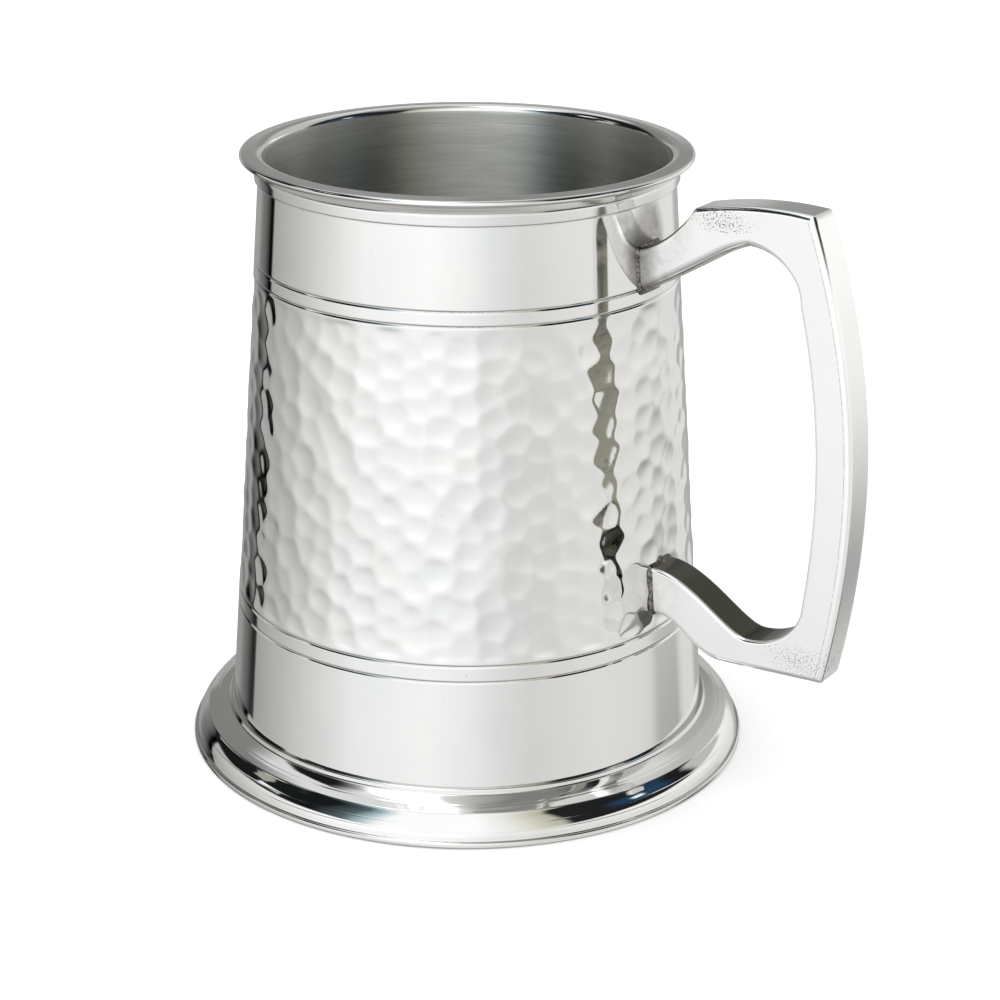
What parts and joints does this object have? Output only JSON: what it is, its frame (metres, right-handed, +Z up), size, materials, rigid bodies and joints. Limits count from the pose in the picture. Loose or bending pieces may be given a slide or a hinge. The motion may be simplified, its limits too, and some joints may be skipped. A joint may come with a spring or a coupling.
{
  "type": "tankard",
  "caption": "Tapered pewter tankard with a flared moulded rim, a hammered drum between turned lines, a beaded foot and a square-cornered cast handle.",
  "frame": {"origin": "centre of the whole tankard's outline in plan, handle included, on the surface that it stands on", "axes": "+Z up out of the mouth, +X towards the handle, which lies in the XZ plane, +Y across; the drum's axis is at X = -0.01455"},
  "size_m": [0.1406, 0.1116, 0.1195],
  "materials": {
    "drum_pewter": "polished and hammered",
    "mouth_pewter": "polished",
    "foot_pewter": "polished",
    "base_pewter": "turned satin",
    "handle_pewter": "polished casting",
    "handle_solder": "satin",
    "seam_solder": "dull"
  },
  "bodies": {
    "root": {"drum": "drum_pewter", "mouth_ring": "mouth_pewter", "foot_ring": "foot_pewter", "base_disc": "base_pewter", "handle": "handle_pewter", "upper_handle_solder": "handle_solder", "lower_handle_solder": "handle_solder", "base_seam_solder": "seam_solder", "foot_seam_solder": "seam_solder"}
  },
  "joints": []
}
